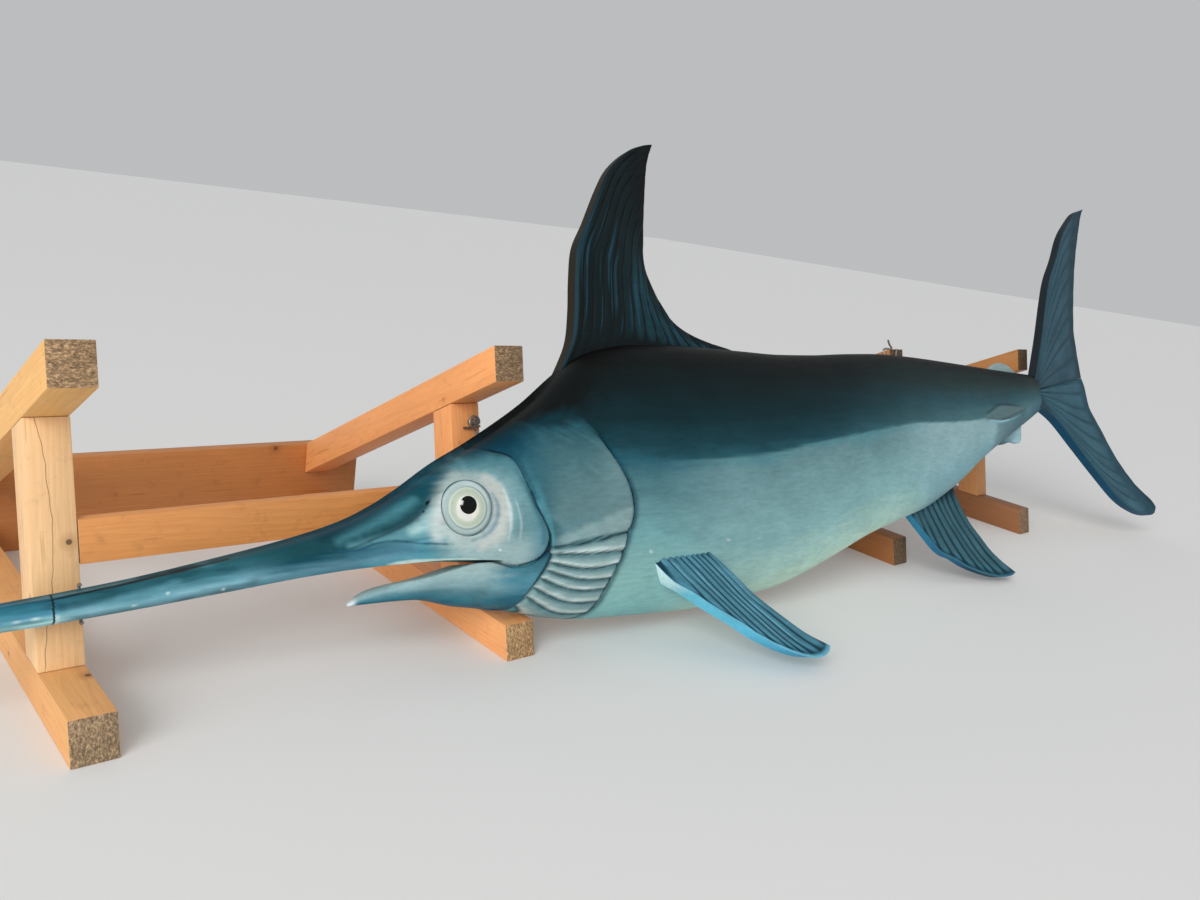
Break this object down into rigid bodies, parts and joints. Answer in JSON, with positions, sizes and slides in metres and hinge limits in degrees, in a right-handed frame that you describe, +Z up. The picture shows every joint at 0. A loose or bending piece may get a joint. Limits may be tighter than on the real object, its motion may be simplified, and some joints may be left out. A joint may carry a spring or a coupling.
{
  "type": "carved swordfish on racks",
  "caption": "Swordfish carved in wood as a flat-backed half relief, painted blue over pale green, leaning on low timber racks and tied with wire.",
  "frame": {"origin": "centre of the bounding box on plan, on the floor the racks stand on", "axes": "+X from the bill towards the tail, -Y out of the painted face towards the viewer, +Z up"},
  "size_m": [2.1776, 0.6986, 0.6105],
  "materials": {
    "body_paint": "carved wood under brushed satin paint, near black on the back, light blue on the flank, pale green on the belly",
    "head_paint": "carved wood under brushed satin paint, pale blue grey with whitish strokes and dark teal grooves",
    "fin_paint": "carved wood under brushed satin paint, dark teal with brighter blue ridges and edges",
    "eye_paint": "carved wood under satin paint, cream green rings",
    "pupil_paint": "black satin paint",
    "rack_wood": "planed softwood under clear varnish, grey weathered end grain",
    "tie_steel": "dull bent wire"
  },
  "bodies": {
    "root": {"anal_fin": "fin_paint", "bill": "body_paint", "body_front": "body_paint", "body_middle": "body_paint", "body_rear": "body_paint", "cheek": "head_paint", "dorsal_fin": "fin_paint", "eye": "eye_paint", "gill_cover": "head_paint", "gill_strips": "head_paint", "head": "head_paint", "lower_jaw": "head_paint", "pectoral_fin": "fin_paint", "pupil": "pupil_paint", "second_anal_fin": "fin_paint", "second_dorsal_fin": "fin_paint", "stand_arm_1": "rack_wood", "stand_arm_2": "rack_wood", "stand_arm_3": "rack_wood", "stand_arm_4": "rack_wood", "stand_board_1": "rack_wood", "stand_board_2": "rack_wood", "stand_bolt": "tie_steel", "stand_foot_1": "rack_wood", "stand_foot_2": "rack_wood", "stand_foot_3": "rack_wood", "stand_foot_4": "rack_wood", "stand_nail": "tie_steel", "stand_post_1": "rack_wood", "stand_post_2": "rack_wood", "stand_post_3": "rack_wood", "stand_post_4": "rack_wood", "stand_rail_1": "rack_wood", "stand_rail_2": "rack_wood", "stand_wire_arm": "tie_steel", "stand_wire_back": "tie_steel", "stand_wire_bill": "tie_steel", "stand_wire_head": "tie_steel", "tail_keel": "body_paint", "tail_lower_lobe": "fin_paint", "tail_stalk": "body_paint", "tail_upper_lobe": "fin_paint"}
  },
  "joints": []
}
